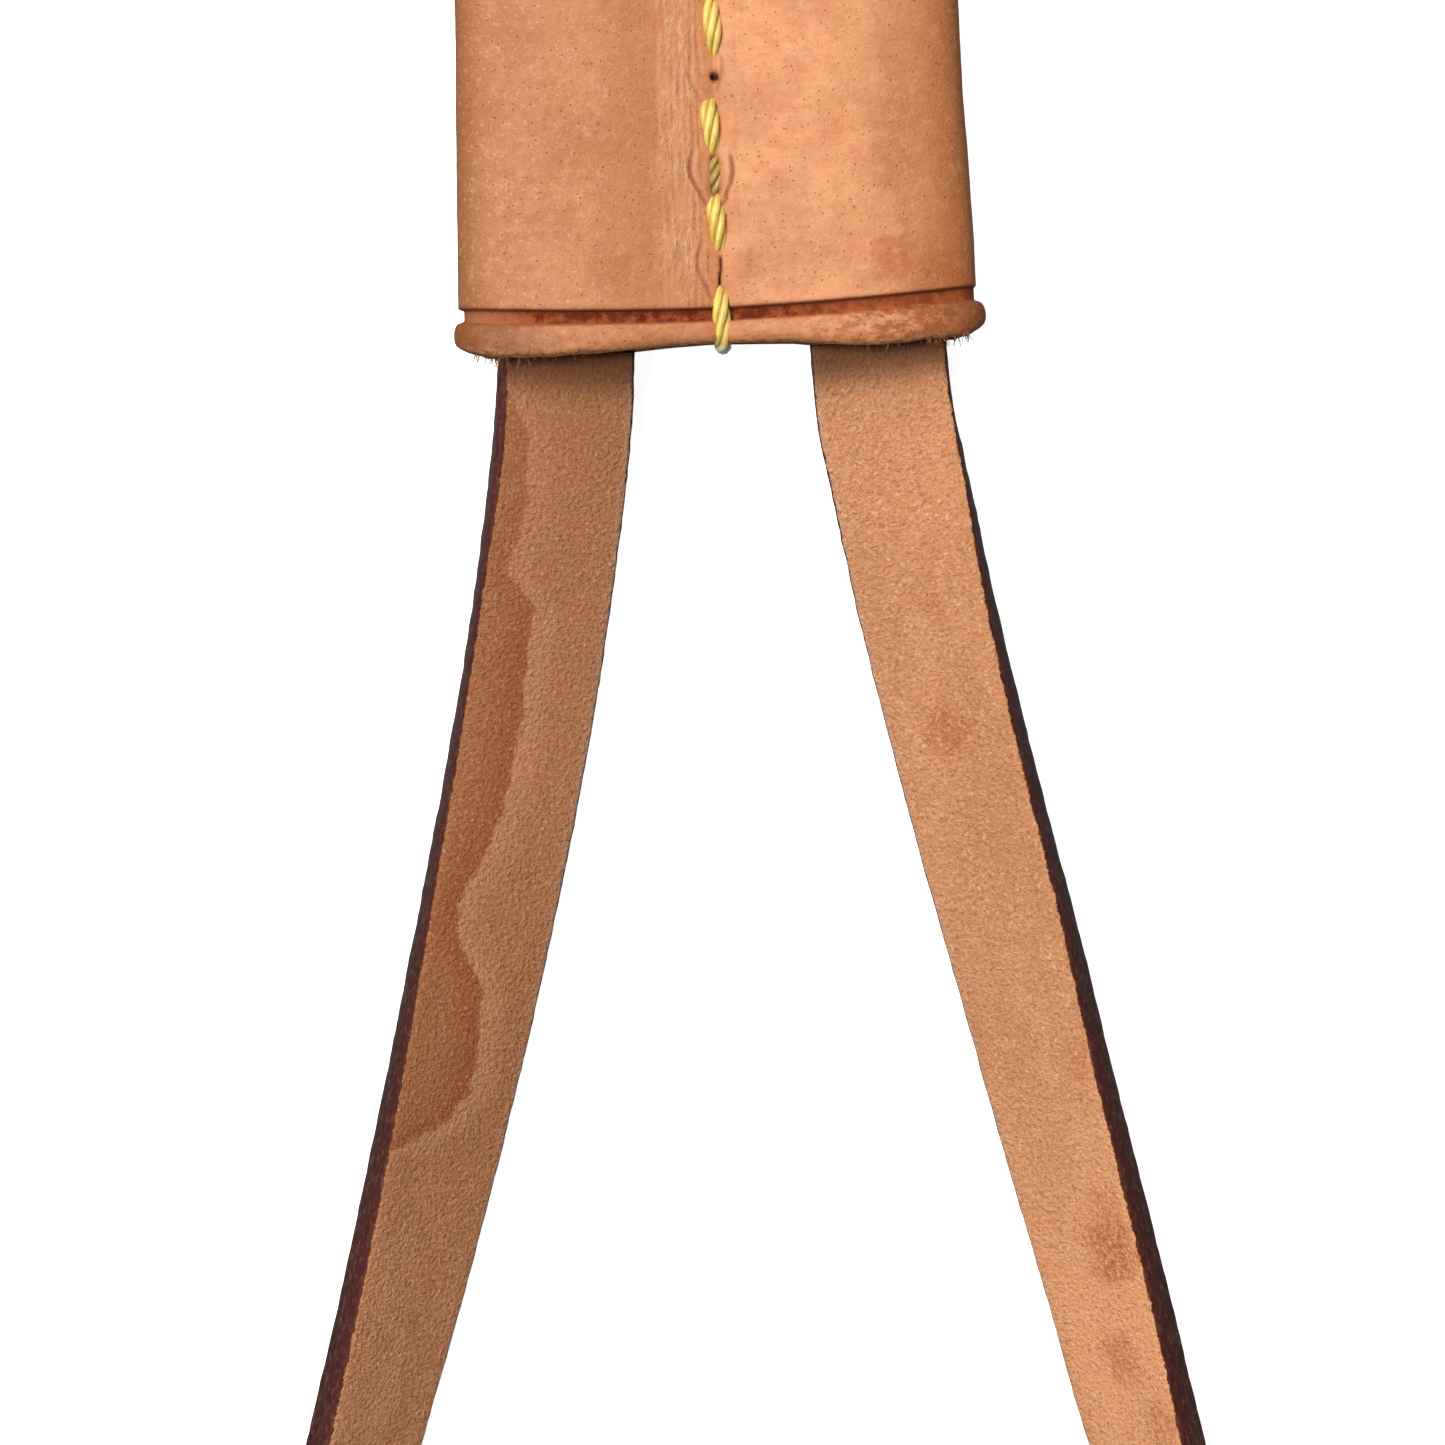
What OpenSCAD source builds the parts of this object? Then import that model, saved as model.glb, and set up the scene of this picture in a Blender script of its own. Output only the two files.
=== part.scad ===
// Leather cord slide on a flat leather drawstring lace.
// The slide is one strip of leather wrapped into a flat tube. Its two ends butt along the middle of
// the back, and one row of stitches down the middle closes the tube into two channels, one for each
// leg of the lace. The lace is one length: a loop below the slide, and two knotted tails above it.
// Millimetres. +Z is the slide's front, +Y points to the knotted tails and -Y to the loop.
// The slide's back rests on Z = 0, and the origin is below the slide's centre.

/* [Slide] */
// Length of the slide along the lace
slide_len = 42.8; // [36:0.1:60]
// Width of the slide between its lips
slide_w = 30.4; // [29.6:0.1:34]
// Height of the slide over its channels
slide_h = 6.2; // [6.2:0.1:7]
// Width across the flared lip at each short edge
lip_w = 31.1; // [30:0.1:35]
// Height of the flared lip
lip_h = 6.4; // [6.3:0.1:7.2]
// Length of the lip, from the short edge to the crease
lip_len = 1.5; // [1:0.1:3]
// Thickness of the slide's leather
leather_t = 1.8; // [1.2:0.1:1.8]
// Width of the creased line beside each lip
crease_w = 0.8; // [0.4:0.1:1.2]
// Depth of the creased line
crease_depth = 0.35; // [0.1:0.05:0.6]

/* [Seam] */
// Distance from one awl slit to the next
stitch_pitch = 5.75; // [4:0.05:6]
// Number of awl slits along the seam, an odd number so that one is in the middle
slit_count = 7; // [3:2:7]
// Diameter of the waxed thread
thread_d = 1.2; // [0.6:0.1:1.2]

/* [Lace] */
// Width of the lace
lace_w = 8; // [6:0.1:8]
// Thickness of the lace
lace_t = 2; // [1.2:0.1:2]
// Length of each straight tail, from the slide to its knot
tail_len = 50; // [40:1:70]
// Diameter of the thread that ties the hank
tie_d = 1; // [0.5:0.1:1]

/* [Hidden] */
$fn = 48;
eps = 0.01;

// Where each leg of the lace crosses the slide's edge.
left_x = -9.1;
right_x = 9.2;
mid_z = slide_h / 2;

// The slide's section: side folds, the valley that the stitches pull in, and the channels.
fold_r = 2.4;
valley_half = 4.5;
valley_depth = 1.3;
valley_r = (pow(valley_half, 2) + pow(valley_depth, 2)) / (2 * valley_depth);
valley_z = slide_h - valley_depth + valley_r;
channel_corner_r = 0.6;
seam_half = 1.5;
butt_gap = 0.3;

// The seam's slits and stitches.
slit_w = 0.9;
slit_len = 2.2;
slit_y = [for (i = [0 : slit_count - 1]) (i - (slit_count - 1) / 2) * stitch_pitch];
leg_d = 0.9;
leg_off = 0.6;
thread_sink = 0.25;
front_z = slide_h - valley_depth + thread_d / 2 - thread_sink;
back_z = slide_h - front_z;
wrap_y = slide_len / 2 + leg_d / 2;

// Route of each leg below the slide, measured from the slide's lower edge:
// [across, along, twist of the lace about its own line, height over its resting height].
// At twist 0 the lace lies flat, and at 90 it stands on its inner edge.
left_route = [
    [-9.1, 0, 0, 2.1], [-9.4, -4, 8, 1.6], [-9.9, -8, 13, 1.1], [-11, -15, 16, 0.5],
    [-12.3, -22, 17, 0.1], [-13.8, -29, 21, 0], [-15.4, -36, 26, 0], [-17.1, -43, 32, 0],
    [-18.9, -50, 38, 0], [-20.8, -57, 44, 0], [-22.8, -64, 49, 0], [-25, -72, 60, 0],
    [-26.6, -80, 74, 0]];
right_route = [
    [9.2, 0, 0, 2.1], [9.5, -4, 4, 1.8], [10.2, -8, 8, 1.4], [11.5, -15, 17, 0.5],
    [13, -22, 23, 0.1], [14.6, -29, 26, 0], [16.3, -36, 30, 0], [17.9, -43, 35, 0],
    [19.6, -50, 39, 0], [21.3, -57, 43, 0], [22.9, -64, 47, 0], [25, -72, 60, 0],
    [26.6, -80, 74, 0]];

// The hank: the rest of the loop folded in three lobes and tied at its waist, seen from above.
// The upper lobe's left side runs down to the waist, and the lower lobes end in round folds.
hank_side = [[-27.4, -75.5], [-28.3, -88], [-27.6, -98], [-24.8, -107], [-20.4, -115], [-15, -122.4],
    [-10, -129], [-7, -134.5], [-5.95, -137], [-5.95, -141], [-6.8, -145], [-9.8, -151.5],
    [-14.6, -157], [-20.6, -161.8], [-25.4, -167.5]];
fold_x = 14.4;
fold_y = -175.4;
fold_out_r = 13.8;
waist_half = 5.95;
tie_y = -139;
tie_len = 3;
tie_corner_r = 1;

// Each knot is the flat overhand knot that a strap makes: a five-sided pad with a short end.
knot_r = 11;
knot_h = 8.4;
knot_off_x = 2.9;
knot_off_y = 9;
knot_end_len = 4.5;
knot_end_turn = 72;
knot_end_z = 5.2;

leather = [0.80, 0.56, 0.40];
flesh = [0.72, 0.50, 0.36];
waxed_yellow = [0.92, 0.76, 0.36];

function mirrored(points) = [for (i = [len(points) - 1 : -1 : 0]) [-points[i][0], points[i][1]]];

// The lace's section, across by thickness, with bevelled corners.
lace_bevel = 0.4;
lace_section = let (a = lace_w / 2, b = lace_t / 2, c = lace_bevel)
    [[a, c - b], [a, b - c], [a - c, b], [c - a, b], [-a, b - c], [-a, c - b], [c - a, -b], [a - c, -b]];

function unit(v) = v / norm(v);
function rest_z(twist) = lace_w / 2 * sin(twist) + lace_t / 2 * cos(twist);
function placed(route) = [for (p = route) [p[0], p[1] - slide_len / 2, rest_z(p[2]) + p[3]]];
// The first ring leaves the slide square to its edge, and the others follow the route.
function heading(path, i) = i == 0 ? [0, -1, 0] : unit(path[min(i + 1, len(path) - 1)] - path[i - 1]);
function ring(at, along, twist) = let (
    inward = unit(cross([0, 0, 1], along)), up = cross(along, inward),
    face = cos(twist) * up + sin(twist) * inward, edge = sin(twist) * up - cos(twist) * inward)
    [for (p = lace_section) at + p[0] * edge + p[1] * face];

// A flat lace swept along a route. The right leg is built as the left one's mirror image.
module swept(route) {
    path = placed(route);
    sides = len(lace_section);
    last = len(path) - 1;
    rings = [for (i = [0 : last]) ring(path[i], heading(path, i), route[i][2])];
    walls = [for (i = [0 : last - 1], j = [0 : sides - 1])
        let (a = i * sides + j, b = i * sides + (j + 1) % sides)
        each [[a, b, a + sides], [b, b + sides, a + sides]]];
    caps = [[for (j = [sides - 1 : -1 : 0]) j], [for (j = [0 : sides - 1]) last * sides + j]];
    polyhedron(points = [for (r = rings) each r], faces = concat(walls, caps), convexity = 4);
}

// A straight stretch of lace from y = from, lying flat at the channels' height.
module straight(x, from, length)
    translate([x, from + length, mid_z]) rotate([90, 0, 0]) linear_extrude(length) polygon(lace_section);

module rounded(w, h, r)
    translate([0, h / 2]) {
        square([w - 2 * r, h], center = true);
        square([w, h - 2 * r], center = true);
        for (x = [-1, 1], y = [-1, 1]) translate([x * (w / 2 - r), y * (h / 2 - r)]) circle(r);
    }

// The slide's outer section, w wide and h high, with its valleys at the seam.
module outline(w, h)
    difference() {
        rounded(w, h, fold_r);
        translate([0, valley_z]) circle(valley_r, $fn = 96);
        translate([0, slide_h - valley_z]) circle(valley_r, $fn = 96);
    }

// One channel's section, on the +X side, narrowing to the seam.
module channel()
    difference() {
        translate([0, leather_t]) intersection() {
            rounded(slide_w - 2 * leather_t, slide_h - 2 * leather_t, channel_corner_r);
            translate([seam_half, 0]) square([slide_w, slide_h]);
        }
        translate([0, valley_z]) circle(valley_r + leather_t, $fn = 96);
        translate([0, slide_h - valley_z]) circle(valley_r + leather_t, $fn = 96);
    }

// Stands a section up and runs it along Y, from y = from.
module along_y(from, length) translate([0, from + length, 0]) rotate([90, 0, 0]) linear_extrude(length) children();

module crease(from)
    difference() {
        along_y(from, crease_w) translate([0, -1]) square([2 * lip_w, 4 * lip_h], center = true);
        along_y(from - 1, crease_w + 2) translate([0, crease_depth])
            outline(slide_w - 2 * crease_depth, slide_h - 2 * crease_depth);
    }

module slide_sleeve()
    color(leather) difference() {
        union() {
            along_y(-slide_len / 2, slide_len) outline(slide_w, slide_h);
            for (from = [-slide_len / 2, slide_len / 2 - lip_len]) along_y(from, lip_len) outline(lip_w, lip_h);
        }
        for (side = [0, 1]) mirror([side, 0, 0]) along_y(-slide_len / 2 - 1, slide_len + 2) channel();
        crease(-slide_len / 2 + lip_len);
        crease(slide_len / 2 - lip_len - crease_w);
        for (y = slit_y) translate([0, y, slide_h / 2]) cube([slit_w, slit_len, slide_h], center = true);
        // The butted ends of the strip, along the back.
        translate([-butt_gap / 2, -slide_len / 2 - 1, -1]) cube([butt_gap, slide_len + 2, mid_z + 1 - crease_depth]);
    }

// A length of thread laid along Y with round ends.
module stitch(from, to, z) {
    translate([0, to, z]) rotate([90, 0, 0]) cylinder(d = thread_d, h = to - from);
    for (y = [from, to]) translate([0, y, z]) sphere(d = thread_d);
}

module thread_leg(y) translate([0, y, back_z]) cylinder(d = leg_d, h = front_z - back_z);

module seam_thread()
    color(waxed_yellow) union() {
        for (i = [0 : slit_count - 2], z = [front_z, back_z])
            stitch(slit_y[i] + leg_off, slit_y[i + 1] - leg_off, z);
        for (y = slit_y, off = [-leg_off, leg_off]) thread_leg(y + off);
        // The last stitch at each end wraps over the short edge.
        for (z = [front_z, back_z]) {
            stitch(-wrap_y, slit_y[0] - leg_off, z);
            stitch(slit_y[slit_count - 1] + leg_off, wrap_y, z);
        }
        for (y = [-wrap_y, wrap_y]) thread_leg(y);
    }

module lace_in_left_channel() color(flesh) straight(left_x, -slide_len / 2, slide_len);

module lace_in_right_channel() color(flesh) straight(right_x, -slide_len / 2, slide_len);

module lace_run_left() color(flesh) swept(left_route);

module lace_run_right()
    color(flesh) mirror([1, 0, 0]) swept([for (p = right_route) [-p[0], p[1], p[2], p[3]]]);

// The hank's closed outer shape. It rises over the thread of its tie at the waist.
module lace_hank()
    color(flesh) translate([0, -slide_len / 2, 0]) {
        difference() {
            linear_extrude(lace_w) {
                polygon(concat(hank_side, [[0, fold_y]], mirrored(hank_side)));
                for (x = [-fold_x, fold_x]) translate([x, fold_y]) circle(fold_out_r, $fn = 96);
            }
            translate([0, tie_y, 0]) cube([4 * waist_half, tie_len + 0.2, 2 * tie_d + 0.1], center = true);
        }
        translate([-waist_half, tie_y - tie_len / 2, lace_w - eps]) cube([2 * waist_half, tie_len, tie_d]);
    }

// Three turns of thread round the four straps at the hank's waist, with the knot on top.
module hank_tie()
    color(waxed_yellow) translate([0, -slide_len / 2 + tie_y, 0]) {
        along_y(-tie_len / 2, tie_len) difference() {
            rounded(2 * (waist_half + 0.05 + tie_d), lace_w + 2 * tie_d + 0.1, tie_corner_r);
            translate([0, tie_d + 0.05]) translate([-waist_half - 0.05, 0])
                square([2 * waist_half + 0.1, lace_w + eps]);
        }
        translate([0, 0, lace_w + 2 * tie_d + 0.6]) rotate([0, 90, 0]) cylinder(d = 2 * tie_d, h = 3, center = true);
    }

module lace_tail_left() color(flesh) straight(left_x, slide_len / 2, tail_len);

module lace_tail_right() color(flesh) straight(right_x, slide_len / 2, tail_len);

// A knot that stands beside the line of its tail, with its short end turned outwards.
module knot(x)
    color(flesh) translate([x, slide_len / 2 + tail_len, 0]) {
        translate([-knot_off_x, knot_off_y, 0]) rotate(180) cylinder(r = knot_r, h = knot_h, $fn = 5);
        translate([-knot_off_x, knot_off_y, knot_end_z]) rotate(knot_end_turn)
            translate([-lace_w / 2 + knot_off_x, 0, -lace_t / 2]) cube([lace_w, knot_r + knot_end_len, lace_t]);
    }

module knot_left() knot(left_x);

module knot_right() mirror([1, 0, 0]) knot(-right_x);

slide_sleeve();
seam_thread();
lace_in_left_channel();
lace_in_right_channel();
lace_run_left();
lace_run_right();
lace_hank();
hank_tie();
lace_tail_left();
lace_tail_right();
knot_left();
knot_right();
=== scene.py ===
"""A leather cord slide on its flat drawstring lace, on a plain pale floor.

The slide is a strip of leather wrapped round both legs of the lace and stitched down its middle. Lengths are
in millimetres, and MM turns them into metres for Blender."""

import math

import bmesh
import bpy
import numpy as np
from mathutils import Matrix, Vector, noise


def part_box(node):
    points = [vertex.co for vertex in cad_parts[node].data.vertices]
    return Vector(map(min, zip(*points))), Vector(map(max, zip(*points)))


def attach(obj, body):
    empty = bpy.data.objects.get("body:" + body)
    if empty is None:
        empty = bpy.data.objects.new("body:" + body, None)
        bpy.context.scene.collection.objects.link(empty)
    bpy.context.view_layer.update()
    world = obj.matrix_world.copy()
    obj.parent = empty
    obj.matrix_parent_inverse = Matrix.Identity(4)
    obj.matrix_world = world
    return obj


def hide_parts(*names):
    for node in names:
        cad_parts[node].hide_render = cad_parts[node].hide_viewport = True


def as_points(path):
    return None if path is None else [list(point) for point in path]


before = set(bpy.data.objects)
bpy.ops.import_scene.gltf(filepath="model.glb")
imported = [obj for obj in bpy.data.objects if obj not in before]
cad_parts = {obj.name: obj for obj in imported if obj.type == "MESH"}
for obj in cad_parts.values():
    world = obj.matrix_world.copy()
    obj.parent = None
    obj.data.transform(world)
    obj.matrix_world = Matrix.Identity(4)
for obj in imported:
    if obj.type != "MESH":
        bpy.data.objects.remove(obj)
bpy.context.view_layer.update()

MM = 0.001

# ---- places, from the frame

HALF_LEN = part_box("slide_sleeve")[1][1] / MM
LEFT_LACE_X, RIGHT_LACE_X = (
    float(np.mean([c[0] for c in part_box(n)])) / MM
    for n in ("lace_in_left_channel", "lace_in_right_channel")
)
tail_lo, tail_hi = (np.array(c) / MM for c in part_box("lace_tail_left"))
LACE_W = tail_hi[0] - tail_lo[0]
LACE_T = tail_hi[2] - tail_lo[2]
LACE_Z = (tail_hi[2] + tail_lo[2]) / 2
TAIL_END = tail_hi[1]

# ---- camera

FRAME_W = 85  # how much of the object's plane the picture is wide
CAMERA_H = 700
SENSOR_W = 36
LOOK_AT = (-0.55, -43.6)
ROLL = math.radians(-1.6)

scene = bpy.context.scene
camera_data = bpy.data.cameras.new("camera")
camera_data.sensor_width = SENSOR_W
camera_data.lens = SENSOR_W * (CAMERA_H - LACE_Z) / FRAME_W
camera = bpy.data.objects.new("camera", camera_data)
camera.location = (LOOK_AT[0] * MM, LOOK_AT[1] * MM, CAMERA_H * MM)
camera.rotation_euler = (0, 0, ROLL)
scene.collection.objects.link(camera)
scene.camera = camera

# ---- shader and mesh helpers


class Shader:
    """A material with one Principled shader, and short ways to add nodes to it."""

    def __init__(self, name):
        self.material = bpy.data.materials.new(name)
        self.material.use_nodes = True
        self.tree = self.material.node_tree
        self.skin = self.tree.nodes["Principled BSDF"]
        self.colour = (1, 1, 1, 1)

    def put(self, socket, value):
        if isinstance(value, bpy.types.NodeSocket):
            self.tree.links.new(value, socket)
        else:
            socket.default_value = value

    def add(self, kind, out=0, settings=(), **inputs):
        made = self.tree.nodes.new("ShaderNode" + kind)
        for key, value in dict(settings).items():
            setattr(made, key, value)
        for key, value in inputs.items():
            self.put(made.inputs[int(key[1:]) if key[1:].isdigit() else key.replace("_", " ")], value)
        return made.outputs[out]

    def set(self, **inputs):
        for key, value in inputs.items():
            self.put(self.skin.inputs[key.replace("_", " ")], value)

    def attribute(self, name, out="Fac"):
        return self.add("Attribute", out=out, settings={"attribute_name": name})

    def noise(self, at, scale, detail=3, roughness=0.5, distortion=0):
        return self.add(
            "TexNoise", Vector=at, Scale=scale, Detail=detail, Roughness=roughness, Distortion=distortion)

    def cells(self, at, scale):
        """Distance to the nearest of many scattered points."""
        return self.add("TexVoronoi", settings={"feature": "F1"}, Vector=at, Scale=scale)

    def ramp(self, value, low, high, to_low=0, to_high=1):
        return self.add(
            "MapRange", settings={"interpolation_type": "SMOOTHSTEP"}, Value=value,
            From_Min=low, From_Max=high, To_Min=to_low, To_Max=to_high)

    def math(self, operation, a, b=0):
        return self.add("Math", settings={"operation": operation}, i0=a, i1=b)

    def times(self, a, b):
        return self.math("MULTIPLY", a, b)

    def plus(self, a, b):
        return self.math("ADD", a, b)

    def minus(self, a, b):
        return self.math("SUBTRACT", a, b)

    def larger(self, a, b):
        return self.math("MAXIMUM", a, b)

    def mix(self, share, a, b):
        made = self.tree.nodes.new("ShaderNodeMix")
        made.data_type = "RGBA"
        self.put(made.inputs[0], share)
        self.put(made.inputs[6], a)
        self.put(made.inputs[7], b)
        return made.outputs[2]

    def coat(self, share, colour):
        """Lays a colour over the colour so far, by share."""
        self.colour = self.mix(share, self.colour, colour)

    def axes(self, at):
        return self.add("SeparateXYZ", out=slice(0, 3), i0=at)

    def stretched(self, at, x=1, y=1, z=1):
        return self.add("Mapping", Vector=at, Scale=(x, y, z))

    def row_mm(self):
        """The row's own coordinates in millimetres, which move with the piece."""
        where = self.add("TexCoord", out=3)
        return self.add("Mapping", Vector=where, Scale=(1 / MM,) * 3)

    def bump(self, height, distance, strength=1):
        return self.add("Bump", Height=height, Distance=distance * MM, Strength=strength)


def rgb(*colour):
    """A colour from its usual 0 to 255 values, as Blender's linear ones."""
    return (*(((c / 255 + 0.055) / 1.055) ** 2.4 if c > 10 else c / 255 / 12.92 for c in colour), 1)


def smooth(x, low, high):
    """From 0 at low to 1 at high, with a soft start and end."""
    t = np.clip((np.asarray(x, float) - low) / (high - low), 0, 1)
    return t * t * (3 - 2 * t)


def grain(points, scale, seed=0):
    """Smooth noise from -1 to 1 at each point."""
    flat = np.asarray(points, float).reshape(-1, 3) * scale + seed
    return np.array([noise.noise(Vector(p)) for p in flat]).reshape(np.shape(points)[:-1])


def grid_quads(rows, columns, first=0, ring=True):
    """The quads between rows of points, each row a closed ring or an open line."""
    i, j = np.meshgrid(np.arange(rows - 1), np.arange(columns if ring else columns - 1), indexing="ij")
    a, b = i * columns + j, i * columns + (j + 1) % columns
    return (first + np.stack([a, b, b + columns, a + columns], -1)).reshape(-1, 4).tolist()


def piece(name, points, faces, material, body, replaces=(), slot=None, **attributes):
    """A smooth mesh piece from points in millimetres, with a value at each point for each attribute."""
    mesh = bpy.data.meshes.new(name)
    mesh.from_pydata((np.asarray(points) * MM).tolist(), [], faces)
    mesh.update()
    for key, values in attributes.items():
        values = np.asarray(values, np.float32)
        kind, field = ("FLOAT_VECTOR", "vector") if values.ndim == 2 else ("FLOAT", "value")
        mesh.attributes.new(key, kind, "POINT").data.foreach_set(field, values.ravel())
    solid = bmesh.new()
    solid.from_mesh(mesh)
    if solid.calc_volume(signed=True) < 0:
        mesh.flip_normals()
    solid.free()
    mesh.shade_smooth()
    mesh.materials.append(material)
    made = bpy.data.objects.new(name, mesh)
    scene.collection.objects.link(made)
    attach(made, body)
    if replaces:
        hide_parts(*replaces)
    return made


# ---- the lace's routes

# Each leg below the slide, from the slide's lower edge: across, along, twist of the lace about its own line
# in degrees, and height over its resting height. At twist 0 it lies flat, and at 90 it is on its inner edge.
LEFT_ROUTE = [
    (-9.1, 0, 0, 2.1), (-9.4, -4, 8, 1.6), (-9.9, -8, 13, 1.1), (-11, -15, 16, 0.5),
    (-12.3, -22, 17, 0.1), (-13.8, -29, 21, 0), (-15.4, -36, 26, 0), (-17.1, -43, 32, 0),
    (-18.9, -50, 38, 0), (-20.8, -57, 44, 0), (-22.8, -64, 49, 0), (-25, -72, 60, 0),
    (-26.6, -80, 74, 0)]
RIGHT_ROUTE = [
    (9.2, 0, 0, 2.1), (9.5, -4, 4, 1.8), (10.2, -8, 8, 1.4), (11.5, -15, 17, 0.5),
    (13, -22, 23, 0.1), (14.6, -29, 26, 0), (16.3, -36, 30, 0), (17.9, -43, 35, 0),
    (19.6, -50, 39, 0), (21.3, -57, 43, 0), (22.9, -64, 47, 0), (25, -72, 60, 0),
    (26.6, -80, 74, 0)]
# The left half of the hank, on edge: down to the tie, round the lower lobe, back through the tie and up to
# the middle of the upper lobe. The right half is its mirror image.
HANK_ROUTE = [
    (-27.2, -88, 86, 0), (-26.4, -97, 90, 0), (-23.6, -106, 90, 0), (-19.2, -114, 90, 0),
    (-14, -121, 90, 0.1), (-9.2, -127.5, 90, 0.5), (-6, -133.5, 90, 0.9), (-4.9, -139, 90, 1),
    (-5.6, -145, 90, 0.9), (-8.6, -152, 90, 0.5), (-13.6, -157.8, 90, 0.1), (-19.6, -162.6, 90, 0),
    (-24.5, -168.3, 90, 0), (-26.9, -175, 90, 0), (-25.4, -181.8, 90, 0), (-20.9, -186.6, 90, 0),
    (-14.4, -188.3, 90, 0), (-7.9, -186.4, 90, 0), (-3.5, -181.4, 90, 0), (-2, -174, 90, 0),
    (-1.7, -165, 90, 0), (-1.7, -156, 90, 0.2), (-1.6, -147, 90, 0.7), (-1.6, -139, 90, 1),
    (-2.2, -133, 90, 0.8), (-4.6, -126, 90, 0.4), (-8.8, -118.5, 90, 0.1), (-12.8, -110.5, 90, 0),
    (-15.4, -102, 90, 0), (-15.8, -93, 90, 0), (-12.6, -84.5, 90, 0), (-6.8, -79.2, 90, 0),
    (0, -77.5, 90, 0)]
TIE_Y = -139 - HALF_LEN
TIE_HALF_W = 4.9 + LACE_T / 2
STEP = 0.5  # between the lace's rows of points


def lengths(line):
    return np.concatenate([[0], np.cumsum(np.linalg.norm(np.diff(line, axis=0), axis=1))])


def spline(points, step):
    """A smooth curve through points, as one point at about each step of its length."""
    p = np.asarray(points, float)
    n = len(p)
    at = lengths(p[:, :2])
    h = np.diff(at)
    system, right = np.eye(n), np.zeros_like(p)
    for i in range(1, n - 1):
        system[i, i - 1 : i + 2] = h[i - 1], 2 * (h[i - 1] + h[i]), h[i]
        right[i] = 6 * ((p[i + 1] - p[i]) / h[i] - (p[i] - p[i - 1]) / h[i - 1])
    m = np.linalg.solve(system, right)
    t = np.linspace(0, at[-1], int(at[-1] / step) + 1)
    k = np.clip(np.searchsorted(at, t, side="right") - 1, 0, n - 2)
    a = ((at[k + 1] - t) / h[k])[:, None]
    b, hk = 1 - a, h[k][:, None]
    return a * p[k] + b * p[k + 1] + ((a**3 - a) * m[k] + (b**3 - b) * m[k + 1]) * hk**2 / 6


def unit(v):
    return v / np.linalg.norm(v, axis=-1, keepdims=True)


def loop_line():
    """The loop's centreline from the left mouth to the right one, and at each point the direction of the
    lace's outward edge."""
    right_half = [(-x, y, twist, lift) for x, y, twist, lift in HANK_ROUTE[-2::-1]]
    rows = spline(LEFT_ROUTE + HANK_ROUTE + right_half + RIGHT_ROUTE[::-1], STEP)
    twist = np.radians(rows[:, 2])
    height = LACE_W / 2 * np.sin(twist) + LACE_T / 2 * np.cos(twist) + np.maximum(rows[:, 3], 0)
    line = np.c_[rows[:, 0], rows[:, 1] - HALF_LEN, height]
    along = unit(np.gradient(line, axis=0))
    inward = unit(np.cross([0, 0, 1], along))
    up = np.cross(along, inward)
    edge = np.sin(twist)[:, None] * up - np.cos(twist)[:, None] * inward
    return line, edge


loop, loop_edge = loop_line()
LOOP_LEN = lengths(loop)[-1]

# ---- materials

# How much darker than it looks the slide's shining grain side is, in red, green and blue.
HIDE_SHARE = (0.68, 0.66, 0.58, 1)


def hide(*colour):
    """A colour of the slide's grain side from how it looks."""
    return tuple(c * share for c, share in zip(rgb(*colour), HIDE_SHARE))


def stain_lace(s, at, across, blotch):
    """The lace's own colour with painted shade and a painted highlight, its tide mark and its spots."""
    broad = s.noise(s.stretched(at, 0.5, 0.16, 0.5), 0.8, 4)
    s.colour = s.mix(s.ramp(broad, 0.32, 0.68), rgb(198, 133, 90), rgb(208, 143, 99))
    s.coat(s.ramp(blotch, 0.45, 0.8, 0, 0.5), rgb(192, 126, 84))
    # Painted shade on the left leg's upper part and just below the slide's lip.
    s.coat(s.attribute("shade"), rgb(166, 108, 70))
    s.coat(s.times(s.attribute("fair"), 0.55), rgb(250, 174, 120))
    # Painted highlight: a pale grey line on the face beside the lace's inner edge.
    s.coat(s.ramp(across, -3.2, -3.9, 0, 0.35), rgb(190, 156, 130))
    # The tide mark: everything outside a wavy line, darkest just inside it, with a pale rim along it.
    wander = s.times(s.minus(s.noise(at, 1.1, 4, 0.6), 0.5), 0.9)
    past = s.minus(s.plus(across, wander), s.attribute("tide"))
    tide = s.times(s.ramp(past, -0.12, 0.2), s.ramp(past, 0.3, 2.6, 1, 0.4))
    s.coat(s.times(tide, s.attribute("stain")), rgb(154, 84, 46))
    rim = s.times(s.ramp(past, -2.4, -0.3), s.ramp(past, 0.05, -0.1))
    s.coat(s.times(rim, s.times(s.attribute("stain"), 0.35)), rgb(212, 154, 114))
    streaky = s.noise(s.stretched(at, 1, 0.7, 1), 2.8, 4, 0.7)
    s.coat(s.times(s.attribute("spot"), s.ramp(streaky, 0.38, 0.6, 0.3, 1)), rgb(176, 90, 34))


def lay_nap(s, at, blotch, nap, fine):
    """Painted highlights on the nap's tips and painted shade in its gaps, less where the lace has painted
    shade, and the painted shadow under the slide's lip.
    """
    contrast = s.ramp(s.attribute("shade"), 0, 0.9, 1, 0.45)
    # Painted highlights and painted shade, from the same noise that makes the nap's bumps.
    s.coat(s.times(contrast, s.ramp(nap, 0.52, 0.72, 0, 0.42)), rgb(240, 188, 146))
    s.coat(s.ramp(nap, 0.48, 0.3, 0, 0.46), rgb(140, 80, 40))
    s.coat(s.times(contrast, s.ramp(fine, 0.58, 0.72, 0, 0.45)), rgb(250, 208, 168))
    tips = s.times(s.ramp(s.cells(at, 2.2), 0.34, 0.1), s.ramp(blotch, 0.4, 0.6, 0.36, 0.15))
    s.coat(s.times(tips, contrast), rgb(250, 204, 162))
    # Painted shadow of the slide's lip on both legs, just below it.
    s.coat(s.attribute("lip_shadow"), rgb(88, 50, 31))


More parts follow.
